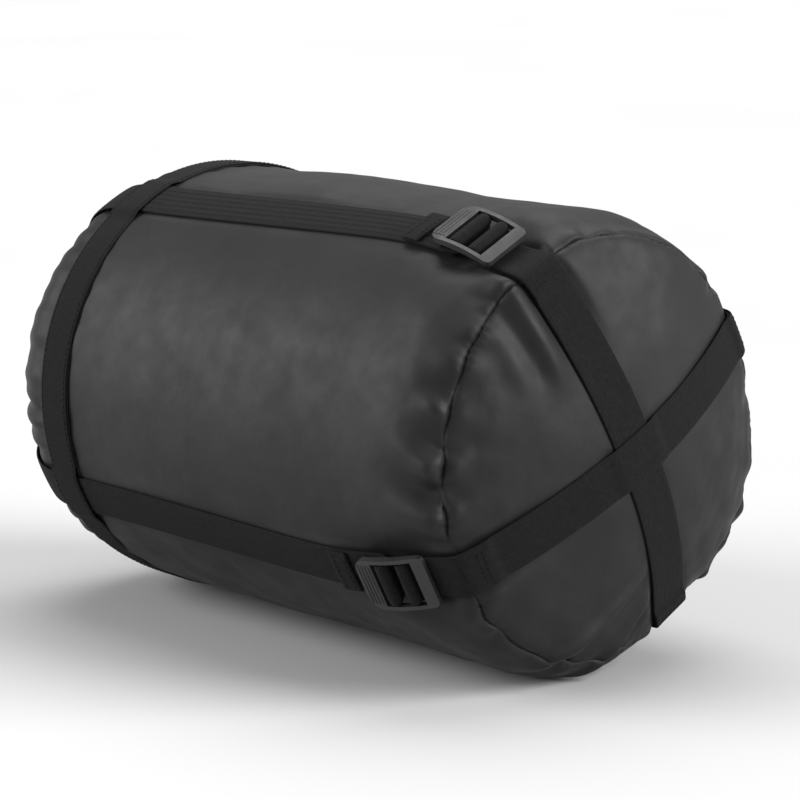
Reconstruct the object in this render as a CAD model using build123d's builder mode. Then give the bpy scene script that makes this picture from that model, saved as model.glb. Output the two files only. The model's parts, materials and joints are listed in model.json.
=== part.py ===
from build123d import *
import os
from math import atan2, cos, radians, sin

# A stuffed compression sack lying on its side. +X runs along the sack from the lid to the base,
# +Z is up, and the sack's front faces -Y. The origin is on the floor, under the middle of the tube.
# All sizes are in millimetres.

# --- Driving dimensions: the stuffed sack ---
axis_height = 124.0        # the sack's axis above the floor; the tube is pressed flat below it
tube_radius = 127.0        # outside of the tube at its fullest
rim_radius = 125.3         # outside of the tube under the lid's rim
rim_x = -150.0             # the lid's open edge
seam_x = 150.0             # the seam between the tube and the base panel
seam_radius = 112.0
shoulder_x = 110.0         # where the tube starts to round over towards the base
base_rise = 24.0           # how far the base panel bulges beyond its seam
lid_depth = 83.0           # from the lid's open edge to its flat end
lid_corner_radius = 58.0
cinch_start_x = 75.0       # from here to the seam each taut strap line presses a flat into the shoulder
cinch_end_radius = 111.5   # the flat's distance from the axis at the seam

# --- Cloth and webbing ---
fabric_thickness = 1.0
lid_fabric_thickness = 0.8
webbing_width = 25.0
webbing_thickness = 1.2
layer_gap = 0.2
seam_gap = 0.3             # between pieces of cloth that are sewn edge to edge
load_clearance = 0.4

# --- The four strap lines, as angles about the sack's axis: 0 is the front, 90 the top ---
strap_angles = {"top": 63.0, "front": -28.0, "bottom": -122.5, "back": 152.0}

# --- Ladder locks ---
lock_x = {"top": 114.0, "front": 114.0, "bottom": 100.0, "back": 114.0}  # middles, along the sack
lock_tilt = 13.0           # degrees, each lock leans down towards the base
lock_lift = 3.1             # the lock's own zero height above the cloth
lock_half_length = 21.0
lock_width = 31.6
lock_window_width = 26.6
lock_corner_radius = 3.0
tab_corner_radius = 8.0
lock_trim = 0.2            # the rounded outline is cut this far inside the arched bar
tab_length = 11.5
end_bar_length = 6.5
tab_bottom, tab_top = 4.0, 6.4
arch_x = -5.0
arch_bottom, arch_top = 4.4, 8.0
end_bottom, end_top = 0.7, 3.2
bar_radius = 2.0
locking_bar = (-4.5, 5.2)  # centre of each round bar in the lock's side view
loop_bar = (7.5, 4.1)
ridge_radius = 0.6
ridge_pitch = 2.4
ridge_count = 4
ridge_half_length = 12.0
turn_clearance = 0.15
turn_half_width = webbing_width / 2

# --- Straps along the tube, as distances from the middle of their ladder lock ---
run_end = -6.0
tail_start, tail_end = -43.0, -14.0
base_strap_start = 3.0

# --- Drawn-in mouth under the lid ---
dish_radius = 60.0         # the gathered cloth dips in from here towards the neck
neck_x = -200.0
neck_radius = 20.0
mouth_hole_radius = 9.0
channel_ring_radius = 15.0
channel_radius = 4.0
channel_bore_radius = 2.2
load_end_x = -192.0

# --- Drawcord and cord lock ---
cord_radius = 1.25
strand_offset = 2.2        # each strand from the cord's middle line
strand_end_x = -229.6
knot_radius = 2.6
eyelet_outer_radius = 6.2
eyelet_hole_radius = 3.7
eyelet_thickness = 1.0
barrel_x = -219.0
barrel_radius = 7.0
barrel_height = 21.0
barrel_bore_radius = 4.8
barrel_floor = 2.0
cord_height = 12.0         # the strands above the barrel's foot
slot_clearance = 0.35
plunger_radius = 4.72
plunger_foot = 8.5         # the plunger's foot above the barrel's foot
plunger_travel = 3.5
plunger_head_radius = 5.8
plunger_head_height = 3.2
spring_wire_radius = 0.4
spring_radius = 3.4
spring_turns = 4.0

lid_end_x = rim_x - lid_depth
sack_axis = Axis((0, 0, axis_height), (1, 0, 0))
side_view = Plane(origin=(0, 0, axis_height), x_dir=(1, 0, 0), z_dir=(0, -1, 0))
reach = 400.0              # longer than the sack, for cutting tools

os.makedirs("parts", exist_ok=True)


def stack(inner, thickness):
    """A layer's inner and outer distance from the sack's cloth."""
    return inner, inner + thickness


def outward(angle):
    return Vector(0, -cos(radians(angle)), sin(radians(angle)))


def cinch_plane(angle):
    """The flat that a taut strap presses into the shoulder."""
    lean = atan2(tube_radius - cinch_end_radius, seam_x - cinch_start_x)
    start = Vector(cinch_start_x, 0, axis_height) + outward(angle) * tube_radius
    normal = outward(angle) * cos(lean) + Vector(1, 0, 0) * sin(lean)
    return Plane(origin=start, z_dir=normal)


def envelope(outset, floor):
    """The stuffed sack's whole outer shape, grown by outset and flattened at the floor."""
    with BuildPart() as shape:
        with BuildSketch(side_view):
            with BuildLine():
                corner_x = lid_end_x + lid_corner_radius
                face_radius = rim_radius - lid_corner_radius
                Line((lid_end_x, 0), (lid_end_x, face_radius))
                TangentArc((lid_end_x, face_radius), (corner_x, rim_radius), tangent=(0, 1))
                Line((corner_x, rim_radius), (rim_x, rim_radius))
                Line((rim_x, rim_radius), (shoulder_x, tube_radius))
                TangentArc((shoulder_x, tube_radius), (seam_x, seam_radius), tangent=(1, 0))
                TangentArc((seam_x + base_rise, 0), (seam_x, seam_radius), tangent=(0, 1))
                mirror(about=Plane.XZ)
            make_face()
            if outset:
                offset(amount=outset)
            Rectangle(3 * reach, reach, align=(Align.CENTER, Align.MIN), mode=Mode.INTERSECT)
        revolve(axis=sack_axis)
        split(bisect_by=Plane.XY.offset(floor), keep=Keep.TOP)
        for angle in strap_angles.values():
            split(bisect_by=cinch_plane(angle).offset(outset), keep=Keep.BOTTOM)
    return shape.part


def arm_location(angle, x=0.0):
    """Local +Z points out of the sack's axis along a strap line."""
    return Location((x, 0, axis_height), (90 - angle, 0, 0))


def lock_frame(place):
    """The middle of a ladder lock, its direction towards the base, and its outward direction."""
    tilt = radians(lock_tilt)
    out = outward(strap_angles[place])
    along = Vector(1, 0, 0) * cos(tilt) - out * sin(tilt)
    normal = out * cos(tilt) + Vector(1, 0, 0) * sin(tilt)
    fall = (tube_radius - cinch_end_radius) / (seam_x - cinch_start_x) * (lock_x[place] - cinch_start_x)
    centre = Vector(lock_x[place], 0, axis_height) + out * (tube_radius - fall + lock_lift)
    return centre, along, normal


def write(piece, name):
    piece.part.label = name
    export_step(piece.part, f"parts/{name}.step")


# --- Layers, as distances from the sack's cloth ---
lid_layer = stack(seam_gap, lid_fabric_thickness)
lower_webbing = stack(lid_layer[1] + layer_gap, webbing_thickness)
upper_webbing = stack(lower_webbing[1] + layer_gap, webbing_thickness)
band_layer = stack(upper_webbing[1] + layer_gap, webbing_thickness)
base_lower = stack(layer_gap, webbing_thickness)
base_upper = stack(base_lower[1] + layer_gap, webbing_thickness)
lid_floor = band_layer[1]  # the ring band is the lowest layer under the lid


def lid_shape(outset):
    return envelope(outset, lid_floor - outset)


tube_outside = envelope(0, 0)
tube_inside = envelope(-fabric_thickness, fabric_thickness)
load_inset = fabric_thickness + load_clearance
load_shape = envelope(-load_inset, load_inset)
mouth_outside = lid_shape(0)
mouth_inside = lid_shape(-fabric_thickness)
lid_shapes = {outset: lid_shape(outset) for outset in (*lid_layer, *lower_webbing, *upper_webbing, *band_layer)}
web_shapes = {outset: envelope(outset, 0) for outset in (*base_lower, *base_upper, *lower_webbing, *upper_webbing)}

# --- The sack: tube, base panel, packed contents ---
with BuildPart() as sack_tube:
    add(tube_outside)
    add(tube_inside, mode=Mode.SUBTRACT)
    split(bisect_by=Plane.YZ.offset(rim_x), keep=Keep.TOP)
    split(bisect_by=Plane.YZ.offset(seam_x - seam_gap), keep=Keep.BOTTOM)
write(sack_tube, "sack_tube")

with BuildPart() as base_panel:
    add(tube_outside)
    add(tube_inside, mode=Mode.SUBTRACT)
    split(bisect_by=Plane.YZ.offset(seam_x), keep=Keep.TOP)
write(base_panel, "base_panel")

with BuildPart() as packed_load:
    add(load_shape)
    split(bisect_by=Plane.YZ.offset(load_end_x), keep=Keep.TOP)
    # Under the lid the cloth is a little higher off the floor than along the tube.
    with Locations((rim_x, 0, lid_floor + load_inset)):
        Box(reach, reach, reach, align=(Align.MAX, Align.CENTER, Align.MAX), mode=Mode.SUBTRACT)
write(packed_load, "packed_load")

# --- Webbing over the base: strap a passes under strap b ---
for name, ends, layer in (("base_strap_a", ("top", "bottom"), base_lower),
                          ("base_strap_b", ("front", "back"), base_upper)):
    with BuildPart() as base_strap:
        for end in ends:
            with Locations(arm_location(strap_angles[end], lock_x[end] + base_strap_start)):
                Box(reach, webbing_width, reach, align=(Align.MIN, Align.CENTER, Align.MIN))
        add(web_shapes[layer[1]], mode=Mode.INTERSECT)
        add(web_shapes[layer[0]], mode=Mode.SUBTRACT)
    write(base_strap, name)

# --- The drawn-in mouth ---

def dish(grow):
    """The dip in the gathered mouth, grown by the cloth's thickness for its inner side."""
    with BuildPart() as cone:
        with BuildSketch(side_view):
            with BuildLine():
                Polyline((lid_end_x - reach, 0), (lid_end_x - reach, dish_radius + grow),
                         (lid_end_x, dish_radius + grow), (neck_x + grow, neck_radius + grow),
                         (neck_x + grow, 0), close=True)
            make_face()
        revolve(axis=sack_axis)
    return cone.part


outer_dish = dish(0)
inner_dish = dish(fabric_thickness)
with BuildPart() as mouth_lining:
    add(mouth_inside)
    add(inner_dish, mode=Mode.SUBTRACT)

with BuildPart() as gathered_mouth:
    add(mouth_outside)
    add(outer_dish, mode=Mode.SUBTRACT)
    add(mouth_lining.part, mode=Mode.SUBTRACT)
    split(bisect_by=Plane.YZ.offset(rim_x - seam_gap), keep=Keep.BOTTOM)
    with Locations(Location((neck_x, 0, axis_height), (0, 90, 0))):
        Cylinder(mouth_hole_radius, 4 * fabric_thickness, mode=Mode.SUBTRACT)
write(gathered_mouth, "gathered_mouth")

channel_x = neck_x - channel_radius - layer_gap
channel_plane = Plane(origin=(channel_x, 0, axis_height), x_dir=(0, 1, 0), z_dir=(1, 0, 0))
cord_z = axis_height + channel_ring_radius
cord_plane = Plane(origin=(channel_x, 0, cord_z), x_dir=(0, 1, 0), z_dir=(-1, 0, 0))

with BuildPart() as cord_channel:
    with Locations(Location((channel_x, 0, axis_height), (0, 90, 0))):
        Torus(channel_ring_radius, channel_radius)
        Torus(channel_ring_radius, channel_bore_radius, mode=Mode.SUBTRACT)
    with BuildSketch(cord_plane):
        Circle(eyelet_hole_radius)
    extrude(amount=2 * channel_radius, mode=Mode.SUBTRACT)
write(cord_channel, "cord_channel")

with BuildPart() as eyelet:
    with BuildSketch(cord_plane.offset(channel_radius + layer_gap)):
        Circle(eyelet_outer_radius)
        Circle(eyelet_hole_radius, mode=Mode.SUBTRACT)
    extrude(amount=eyelet_thickness)
write(eyelet, "eyelet")

with BuildPart() as drawcord:
    with Locations(Location((channel_x, 0, axis_height), (0, 90, 0))):
        Torus(channel_ring_radius, cord_radius)
    with BuildSketch(cord_plane):
        with Locations((-strand_offset, 0), (strand_offset, 0)):
            Circle(cord_radius)
    extrude(amount=channel_x - strand_end_x)
    with Locations((strand_end_x, 0, cord_z)):
        Sphere(knot_radius)
write(drawcord, "drawcord")

# --- Barrel cord lock: the strands pass through the barrel and its sprung plunger ---
barrel_plane = Plane(origin=(barrel_x, 0, cord_z - cord_height), x_dir=(1, 0, 0), z_dir=(0, 0, 1))
slot_width = 2 * (strand_offset + cord_radius + slot_clearance)

with BuildPart() as lock_barrel:
    with BuildSketch(barrel_plane):
        Circle(barrel_radius)
    extrude(amount=barrel_height)
    fillet(lock_barrel.edges().filter_by(GeomType.CIRCLE), radius=1.0)
    with BuildSketch(barrel_plane.offset(barrel_floor)):
        Circle(barrel_bore_radius)
    extrude(amount=barrel_height, mode=Mode.SUBTRACT)
    with Locations((barrel_x, 0, cord_z)):
        Box(4 * barrel_radius, slot_width, 2 * (cord_radius + slot_clearance), mode=Mode.SUBTRACT)
write(lock_barrel, "cord_lock_barrel")

head_bottom = barrel_height + plunger_travel + seam_gap
with BuildPart() as lock_plunger:
    with BuildSketch(barrel_plane.offset(plunger_foot)):
        Circle(plunger_radius)
    extrude(amount=head_bottom - plunger_foot)
    with BuildSketch(barrel_plane.offset(head_bottom)):
        Circle(plunger_head_radius)
    extrude(amount=plunger_head_height)
    fillet(lock_plunger.edges().sort_by(Axis.Z)[-1], radius=1.2)
    # The plunger's slot is taller than the strands by its travel, so it can be pressed down.
    with Locations((barrel_x, 0, cord_z - cord_radius - slot_clearance / 2)):
        Box(4 * barrel_radius, slot_width, 2 * cord_radius + slot_clearance + plunger_travel,
            align=(Align.CENTER, Align.CENTER, Align.MIN), mode=Mode.SUBTRACT)
write(lock_plunger, "cord_lock_plunger")

spring_height = plunger_foot - barrel_floor - 2 * spring_wire_radius - layer_gap
with BuildPart() as lock_spring:
    with BuildLine() as coil:
        Helix(spring_height / spring_turns, spring_height, spring_radius,
              center=(barrel_x, 0, barrel_plane.origin.Z + barrel_floor + spring_wire_radius + layer_gap / 2))
    with BuildSketch(Plane(origin=coil.line @ 0, z_dir=coil.line % 0)):
        Circle(spring_wire_radius)
    sweep(path=coil.line, is_frenet=True)
write(lock_spring, "cord_lock_spring")

# --- Lid: cap, rim band and the straps sewn over it ---
with BuildPart() as lid_panel:
    add(lid_shapes[lid_layer[1]])
    add(lid_shapes[lid_layer[0]], mode=Mode.SUBTRACT)
    split(bisect_by=Plane.YZ.offset(rim_x), keep=Keep.BOTTOM)
write(lid_panel, "lid_panel")

with BuildPart() as ring_band:
    add(lid_shapes[band_layer[1]])
    add(lid_shapes[band_layer[0]], mode=Mode.SUBTRACT)
    split(bisect_by=Plane.YZ.offset(rim_x), keep=Keep.BOTTOM)
    split(bisect_by=Plane.YZ.offset(rim_x - webbing_width), keep=Keep.TOP)
write(ring_band, "ring_band")

for name, ends, layer in (("lid_strap_a", ("top", "bottom"), lower_webbing),
                          ("lid_strap_b", ("front", "back"), upper_webbing)):
    with BuildPart() as lid_strap:
        for end in ends:
            with Locations(arm_location(strap_angles[end], rim_x)):
                Box(reach, webbing_width, reach, align=(Align.MAX, Align.CENTER, Align.MIN))
        add(lid_shapes[layer[1]], mode=Mode.INTERSECT)
        add(lid_shapes[layer[0]], mode=Mode.SUBTRACT)
    write(lid_strap, name)

# --- Each strap line along the tube: the run, its hemmed tail and its ladder lock ---
for place, angle in strap_angles.items():
    for name, start_x, end_x, layer in (
            ("strap_run", rim_x + seam_gap, lock_x[place] + run_end, lower_webbing),
            ("strap_tail", lock_x[place] + tail_start, lock_x[place] + tail_end, upper_webbing)):
        with BuildPart() as strap:
            with Locations(arm_location(angle, start_x)):
                Box(end_x - start_x, webbing_width, reach, align=(Align.MIN, Align.CENTER, Align.MIN))
            add(web_shapes[layer[1]], mode=Mode.INTERSECT)
            add(web_shapes[layer[0]], mode=Mode.SUBTRACT)
        write(strap, f"{name}_{place}")

    centre, along, normal = lock_frame(place)
    across = normal.cross(along)
    lock_side = Plane(origin=centre, x_dir=along, z_dir=-across)
    lock_top = Plane(origin=centre, x_dir=along, z_dir=normal)

    with BuildPart() as ladder_lock:
        with BuildSketch(lock_side):
            with BuildLine():
                lower = ThreePointArc((-lock_half_length, tab_bottom), (arch_x, arch_bottom),
                                      (lock_half_length, end_bottom))
                upper = ThreePointArc((-lock_half_length, tab_top), (arch_x, arch_top),
                                      (lock_half_length, end_top))
                Line(lower @ 0, upper @ 0)
                Line(lower @ 1, upper @ 1)
            make_face()
        extrude(amount=lock_width / 2, both=True)
        window_length = 2 * lock_half_length - tab_length - end_bar_length
        window_x = (tab_length - end_bar_length) / 2
        with BuildSketch(lock_top):
            Rectangle(2 * (lock_half_length - lock_trim), lock_width - 2 * lock_trim)
            fillet(vertices().group_by(Axis.X)[0], radius=tab_corner_radius)
            fillet(vertices().group_by(Axis.X)[-1], radius=lock_corner_radius)
            with Locations((window_x, 0)):
                Rectangle(window_length, lock_window_width, mode=Mode.SUBTRACT)
        extrude(amount=lock_width, both=True, mode=Mode.INTERSECT)
        with BuildSketch(lock_side):
            with Locations(locking_bar, loop_bar):
                Circle(bar_radius)
        extrude(amount=(lock_window_width + lock_width) / 4, both=True)
        # Grip ridges across the thumb tab, half sunk in its top.
        with BuildSketch(lock_side):
            with Locations(*(upper @ ((i + 1) * ridge_pitch / upper.length) for i in range(ridge_count))):
                Circle(ridge_radius)
        extrude(amount=ridge_half_length, both=True)
    write(ladder_lock, f"ladder_lock_{place}")

    for name, bar in (("adjusting_turn", locking_bar), ("base_loop", loop_bar)):
        with BuildPart() as turn:
            with BuildSketch(lock_side):
                with Locations(bar):
                    Circle(bar_radius + turn_clearance + webbing_thickness)
                    Circle(bar_radius + turn_clearance, mode=Mode.SUBTRACT)
            extrude(amount=turn_half_width, both=True)
        write(turn, f"{name}_{place}")
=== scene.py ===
import json
from math import asin, cos, pi, radians, sin

import bmesh
import bpy
import numpy as np
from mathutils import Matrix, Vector


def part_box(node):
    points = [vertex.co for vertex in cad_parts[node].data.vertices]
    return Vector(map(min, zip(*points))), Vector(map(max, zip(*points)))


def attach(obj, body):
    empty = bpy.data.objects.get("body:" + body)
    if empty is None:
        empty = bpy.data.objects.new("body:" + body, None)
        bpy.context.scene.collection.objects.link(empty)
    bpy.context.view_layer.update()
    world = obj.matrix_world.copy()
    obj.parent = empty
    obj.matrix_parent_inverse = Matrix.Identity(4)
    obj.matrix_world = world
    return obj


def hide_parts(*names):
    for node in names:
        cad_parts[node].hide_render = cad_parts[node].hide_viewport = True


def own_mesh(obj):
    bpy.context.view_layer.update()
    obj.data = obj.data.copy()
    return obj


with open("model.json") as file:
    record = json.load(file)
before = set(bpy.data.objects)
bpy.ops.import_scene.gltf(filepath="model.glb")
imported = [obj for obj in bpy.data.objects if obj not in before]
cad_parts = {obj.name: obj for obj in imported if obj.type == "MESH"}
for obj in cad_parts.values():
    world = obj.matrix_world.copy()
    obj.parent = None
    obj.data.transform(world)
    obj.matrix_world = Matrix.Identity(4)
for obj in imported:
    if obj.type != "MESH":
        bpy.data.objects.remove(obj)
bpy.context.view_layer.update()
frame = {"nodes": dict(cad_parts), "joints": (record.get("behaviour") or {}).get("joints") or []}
scene = bpy.context.scene
MM = 0.001

# ---------------------------------------------------------------- sizes read from the frame
tube_low, tube_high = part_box("sack_tube")
base_low, base_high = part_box("base_panel")
band_low, band_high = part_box("ring_band")
mouth_low, mouth_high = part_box("gathered_mouth")
joints = {joint["name"]: joint for joint in frame["joints"]}

TUBE_R = (tube_high.y - tube_low.y) / 2
AXIS_Z = tube_high.z - TUBE_R
RIM_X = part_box("lid_panel")[1].x
SEAM_X = base_low.x
APEX_X = base_high.x
SEAM_R = (base_high.y - base_low.y) / 2
RIM_R = (mouth_high.y - mouth_low.y) / 2
LID_END_X = mouth_low.x
SHOULDER_X = 0.110
LID_CORNER_R = 0.058
WEB_W = band_high.x - band_low.x
WEB_T = 1.3 * MM
CLOTH_T = 0.4 * MM
STRAP_DEG = {"top": 63.0, "front": -28.0, "bottom": -122.5, "back": 152.0}
# The strap lines drift a little between the base, the ladder locks and the rim.
DOME_DEG = {**STRAP_DEG, "bottom": -118.0, "top": 63.5}
RIM_DEG = {**STRAP_DEG, "top": 61.0, "front": -26.0}
LIFT_JOINT = {place: joints[f"buckle_{place}_lift"] for place in STRAP_DEG}


# ---------------------------------------------------------------- small number helpers
def smoothstep(x, low, high):
    t = np.clip((np.asarray(x, float) - low) / (high - low), 0, 1)
    return t * t * (3 - 2 * t)


def hump(x, centre, width):
    return np.exp(-((np.asarray(x, float) - centre) / width) ** 2)


def angle_gap(a, b):
    """The signed angle from b to a, in radians, between -pi and pi."""
    return (np.asarray(a) - b + pi) % (2 * pi) - pi


def ring_noise(phi, waves, seed):
    """Smooth noise round a circle, about -1 to 1, made of the given numbers of waves."""
    rng = np.random.default_rng(seed)
    total = 0
    for n in waves:
        total = total + rng.uniform(0.5, 1) * np.cos(n * phi + rng.uniform(0, 2 * pi))
    return total / len(waves) ** 0.5


def cloth_noise(s, phi, size, seed, count=18):
    """Smooth noise over the sack, about -1 to 1, whose lumps are about size across."""
    rng = np.random.default_rng(seed)
    r = outline.at(s)[1]
    place = np.stack(np.broadcast_arrays(s, r * np.cos(phi), r * np.sin(phi)), -1)
    total = 0
    for _ in range(count):
        way = rng.normal(size=3)
        way *= rng.uniform(0.6, 1.6) * pi / size / np.linalg.norm(way)
        total = total + np.cos(place @ way + rng.uniform(0, 2 * pi))
    return total / count ** 0.5


# ---------------------------------------------------------------- the sack's outline
def arc_points(centre_x, centre_r, radius, start, end, count):
    turn = np.linspace(start, end, count)
    return np.stack([centre_x + radius * np.cos(turn), centre_r + radius * np.sin(turn)], 1)


class Outline:
    """The sack's side outline, by distance s along it from the middle of the base to the lid's end."""

    def __init__(self, points, soften=0.0):
        steps = np.linalg.norm(np.diff(points, axis=0), axis=1)
        along = np.concatenate([[0], np.cumsum(steps)])
        self.s = np.arange(0, along[-1], 0.5 * MM)
        x, r = np.interp(self.s, along, points[:, 0]), np.interp(self.s, along, points[:, 1])
        if soften:
            half = int(3 * soften / (0.5 * MM))
            kernel = np.exp(-0.5 * (np.arange(-half, half + 1) * 0.5 * MM / soften) ** 2)
            kernel /= kernel.sum()
            # The outline goes on as its own mirror image past the poles.
            wide_x = np.concatenate([x[half:0:-1], x, x[-2:-half - 2:-1]])
            wide_r = np.concatenate([-r[half:0:-1], r, -r[-2:-half - 2:-1]])
            x, r = np.convolve(wide_x, kernel, "valid"), np.convolve(wide_r, kernel, "valid")
        self.x, self.r = x, np.maximum(r, 0)
        dx, dr = np.gradient(x), np.gradient(r)
        size = np.hypot(dx, dr)
        # Walking from the base to the lid, outwards is on the left of the way.
        self.nx, self.nr = dr / size, -dx / size
        self.length = self.s[-1]

    def at(self, s):
        return [np.interp(s, self.s, v) for v in (self.x, self.r, self.nx, self.nr)]

    def s_at_x(self, x):
        return float(np.interp(-x, -self.x, self.s))


def sack_outline():
    rise = APEX_X - SEAM_X
    dome_r = (rise ** 2 + SEAM_R ** 2) / (2 * rise)
    fall, run = TUBE_R - SEAM_R, SEAM_X - SHOULDER_X
    bend_r = (run ** 2 + fall ** 2) / (2 * fall)
    return np.concatenate([
        arc_points(APEX_X - dome_r, 0, dome_r, 0, asin(SEAM_R / dome_r), 60),
        arc_points(SHOULDER_X, TUBE_R - bend_r, bend_r, pi / 2 - asin(run / bend_r), pi / 2, 30)[1:],
        [[RIM_X, RIM_R], [LID_END_X + LID_CORNER_R, RIM_R]],
        arc_points(LID_END_X + LID_CORNER_R, RIM_R - LID_CORNER_R, LID_CORNER_R, pi / 2, pi, 40)[1:],
        [[LID_END_X, 0]],
    ])


outline = Outline(sack_outline(), soften=2.5 * MM)
S_SEAM = float(outline.s[np.argmin(abs(outline.r - SEAM_R) + (outline.x < SHOULDER_X))])
S_SHOULDER = outline.s_at_x(SHOULDER_X)
S_RIM = outline.s_at_x(RIM_X)
S_CORNER = outline.s_at_x(LID_END_X + LID_CORNER_R)
S_END = outline.length


# ---------------------------------------------------------------- the stuffed shape
CINCH_X, CINCH_END_R = 0.075, 0.1115      # a taut strap line presses a flat from here to the seam
CINCH_SLOPE = (TUBE_R - CINCH_END_R) / (SEAM_X - CINCH_X)
CINCH_SOFT = 2.2 * MM
FLOOR_GAP = 0.45 * MM
FLOOR_SOFT = 1.0 * MM
LID_FLOOR = 4.4 * MM       # the cloth under the rim band, above the floor


def strap_middle(place, s):
    """The angle of a strap's middle line at distance s from the middle of the base."""
    to_lock = smoothstep(s, S_SEAM - 20 * MM, S_SHOULDER)
    to_rim = smoothstep(s, S_SHOULDER, S_RIM) * (1 - smoothstep(s, S_RIM + 20 * MM, S_END - 60 * MM))
    degrees = DOME_DEG[place] * (1 - to_lock) + STRAP_DEG[place] * to_lock
    return np.radians(degrees + (RIM_DEG[place] - STRAP_DEG[place]) * to_rim)


def bulge(s, phi):
    """How far the stuffed sack stands out of its plain outline, straps and cloth alike."""
    near_base = smoothstep(s, 12 * MM, 60 * MM) * (1 - smoothstep(s, S_SHOULDER, S_SHOULDER + 60 * MM))
    between = 0.5 - 0.5 * np.cos(4 * (phi - radians(STRAP_DEG["top"])))
    out = 2.2 * MM * near_base * between - 0.8 * MM * near_base
    # The bottom strap pulls the base's edge in the most.
    pull = hump(angle_gap(phi, radians(-118)), 0, 0.42) * hump(s, S_SEAM, 42 * MM)
    out = out - 3.3 * MM * pull
    # The lid's shoulder is rounder than its outline, most of all where a strap crosses it.
    lid_corner = hump(s, S_CORNER + 32 * MM, 30 * MM)
    out = out - (3.2 - 1.5 * between) * MM * lid_corner
    # The load has settled: the tube is a little slack low on its front, and slopes down to the base on top.
    along_tube = smoothstep(s, S_SEAM + 8 * MM, S_SHOULDER + 5 * MM)
    along_tube = along_tube * (1 - smoothstep(s, S_CORNER, S_CORNER + 50 * MM))
    slack = hump(angle_gap(phi, radians(-66)), 0, radians(27)) * along_tube
    top = hump(angle_gap(phi, radians(101)), 0, radians(30))
    top = top * smoothstep(s, S_SEAM - 5 * MM, S_SEAM + 16 * MM)
    slope = 1 - smoothstep(s, S_SHOULDER - 20 * MM, S_SHOULDER + 190 * MM)
    return out - 5.2 * MM * slack - 7.2 * MM * top * slope


def cinched(x, r, phi, rise):
    """The radius where each taut strap line flattens the shoulder between CINCH_X and the seam."""
    for place, degrees in STRAP_DEG.items():
        gap = angle_gap(phi, radians(degrees))
        near = np.abs(gap) < 1.0
        flat = TUBE_R - CINCH_SLOPE * (x - CINCH_X) + rise
        # Past the strap's edges the cloth puffs up again.
        puff = 6.0 * MM * smoothstep(np.abs(gap) * TUBE_R, WEB_W / 2 + 3 * MM, WEB_W / 2 + 26 * MM)
        cut = np.where(near, flat / np.cos(np.where(near, gap, 0)) + puff, 1.0)
        cut = np.where(x > 0, cut, 1.0)
        r = r - CINCH_SOFT * np.logaddexp(0, (r - cut) / CINCH_SOFT)
    return r


def surface(s, phi, out=0.0):
    """Points on the stuffed sack, out metres above its cloth, pressed flat where it lies on the floor."""
    s, phi = np.broadcast_arrays(np.asarray(s, float), np.asarray(phi, float))
    x, r, nx, nr = outline.at(s)
    rise = bulge(s, phi) + out
    x, r = x + nx * rise, r + nr * rise
    r = np.where(s > S_SEAM - 15 * MM, cinched(x, r, phi, rise), r)
    z = AXIS_Z + r * np.sin(phi)
    lowest = LID_FLOOR * smoothstep(s, S_RIM - 35 * MM, S_RIM - 4 * MM) - np.minimum(out, LID_FLOOR)
    lowest = np.maximum(lowest, FLOOR_GAP)
    z = lowest + FLOOR_SOFT * np.logaddexp(0, (z - lowest) / FLOOR_SOFT)
    return np.stack([x, -r * np.cos(phi), z], -1)


def strap_gap(s, phi):
    """Distance over the cloth to the nearest strap's middle line."""
    r = np.maximum(outline.at(s)[1], 1 * MM)
    nearest = np.full(np.shape(phi), 1.0)
    for place in STRAP_DEG:
        nearest = np.minimum(nearest, abs(angle_gap(phi, strap_middle(place, s))) * r)
    return nearest


# ---------------------------------------------------------------- cloth detail
def pleats(away, phi, count, height, length, seed, radius, sides=0.5):
    """Gathers that run out from a seam: count ridges round the sack, each with its own size and reach."""
    rng = np.random.default_rng(seed)
    middles = (np.arange(count) + rng.uniform(-0.33, 0.33, count)) * 2 * pi / count
    total = np.zeros(np.broadcast(away, phi).shape)
    for middle in middles:
        tall, reach = height * rng.uniform(0.35, 1.0), length * rng.uniform(0.45, 1.0)
        wide, lean = rng.uniform(0.55, 0.9), rng.uniform(-0.35, 0.35)
        across = (angle_gap(phi, middle) * radius - lean * away) / (2 * pi * radius / count)
        spread = wide * (0.42 + 0.5 * away / length)
        ridge = np.exp(-(across / spread) ** 2) - sides * np.exp(-((across - 1.5 * spread) / spread) ** 2)
        total = total + tall * ridge * np.exp(-(away / reach) ** 2)
    return total


def seam_folds(s, phi):
    """The groove of the base seam, and the gathers that spread from it over the tube and the base."""
    away = s - S_SEAM
    on_tube = np.maximum(away, 0)
    on_base = np.maximum(-away, 0)
    strength = np.clip(0.7 + 0.45 * ring_noise(phi, range(2, 7), 5), 0.3, 1.2)
    strength = strength * (0.5 + 1.1 * hump(angle_gap(phi, radians(2)), 0, 0.62))
    rise = 0.55 + 0.45 * smoothstep(abs(away), 0, 6 * MM)
    tube = pleats(on_tube, phi, 27, 6.2 * MM, 34 * MM, 21, SEAM_R, 0.7)
    tube = tube + pleats(on_tube, phi, 71, 2.2 * MM, 15 * MM, 22, SEAM_R)
    panel = pleats(on_base, phi, 27, 2.8 * MM, 24 * MM, 21, SEAM_R, 0.7)
    panel = panel + pleats(on_base, phi, 71, 1.5 * MM, 11 * MM, 22, SEAM_R)
    folds = np.where(away > 0, tube, panel) * strength * rise
    tight = ring_noise(phi, range(110, 170), 24) * np.exp(-(away / (3.5 * MM)) ** 2)
    crease = cloth_noise(s, phi, 9 * MM, 25) * np.exp(-(away / (18 * MM)) ** 2)
    groove = -0.8 * np.exp(-(away / (1.0 * MM)) ** 2) - 0.9 * np.exp(-(away / (5 * MM)) ** 2)
    return folds + (groove + 0.35 * tight + 0.4 * crease * strength) * MM


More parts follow.
